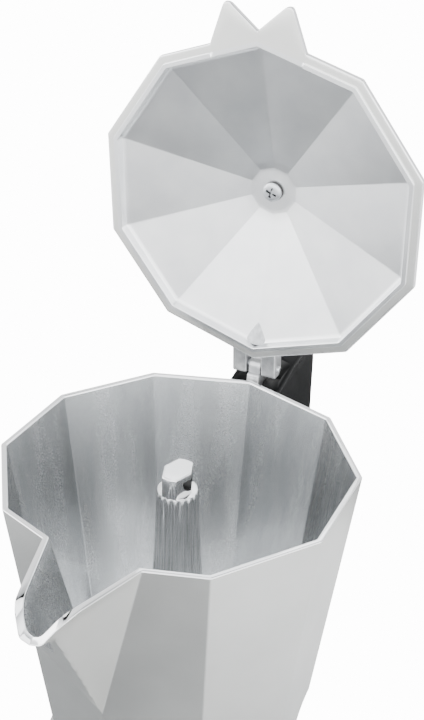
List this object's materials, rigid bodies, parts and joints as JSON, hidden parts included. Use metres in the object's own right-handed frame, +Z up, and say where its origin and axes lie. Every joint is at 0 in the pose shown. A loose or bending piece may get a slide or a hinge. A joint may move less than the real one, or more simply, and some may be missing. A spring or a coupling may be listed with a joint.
{
  "type": "moka pot",
  "caption": "Ten-sided stove-top coffee maker: boiler with valve, funnel, filter, jug with V-shaped spout and riser column, hinged lid, moulded handle and knob.",
  "frame": {"origin": "centre of the boiler's base, on the surface that the pot stands on", "axes": "+Z up; the spout points to -X and the hinge and handle to +X; the safety valve faces -Y"},
  "size_m": [0.2044, 0.1309, 0.3563],
  "materials": {
    "cast_aluminium": "cast, machined and tumbled to a satin sheen",
    "polished_aluminium": "polished",
    "pressed_aluminium": "pressed sheet, satin",
    "plated_steel": "zinc plated, bright",
    "brass": "turned, bright",
    "fibre_washer": "matt fibre",
    "white_rubber": "matt",
    "black_plastic": "moulded, satin"
  },
  "bodies": {
    "boiler": {"boiler": "cast_aluminium", "valve_body": "brass", "valve_washer": "fibre_washer", "valve_spring": "plated_steel", "valve_cap": "plated_steel"},
    "valve_plunger": {"valve_plunger": "plated_steel"},
    "funnel": {"funnel_basket": "pressed_aluminium", "funnel_tube": "pressed_aluminium", "funnel_screen": "pressed_aluminium"},
    "gasket": {"gasket": "white_rubber"},
    "filter_plate": {"filter_plate": "pressed_aluminium"},
    "collector": {"collector": "cast_aluminium", "riser_column": "polished_aluminium", "hinge_pin": "plated_steel", "handle": "black_plastic", "handle_pin": "plated_steel"},
    "lid": {"lid": "cast_aluminium", "knob": "black_plastic", "knob_screw": "plated_steel"}
  },
  "joints": [
    {"name": "valve_slide", "type": "slide", "parent": "boiler", "child": "valve_plunger", "axis": [0, -1, 0], "range_m": [0, 0.002], "stiffness_N_per_m": 600, "springref_m": -0.005, "deforming": ["valve_spring"]},
    {"name": "funnel_lift", "type": "slide", "parent": "boiler", "child": "funnel", "axis": [0, 0, 1], "range_m": [0, 0.1]},
    {"name": "collector_lift", "type": "slide", "parent": "funnel", "child": "gasket", "axis": [0, 0, 1], "range_m": [0, 0.08]},
    {"name": "collector_rise", "type": "slide", "parent": "gasket", "child": "filter_plate", "axis": [0, 0, 1], "range_m": [0, 0.00705]},
    {"name": "collector_turn", "type": "hinge", "parent": "filter_plate", "child": "collector", "pos_m": [0, 0, 0.1], "axis": [0, 0, 1], "range_deg": [0, 630]},
    {"name": "lid_hinge", "type": "hinge", "parent": "collector", "child": "lid", "pos_m": [0.0693, 0, 0.21347], "axis": [0, 1, 0], "range_deg": [-86.7, 0]}
  ],
  "couplings": [
    {"joint": "collector_rise", "follows": "collector_turn", "m_per_rad": 0.00063662}
  ]
}
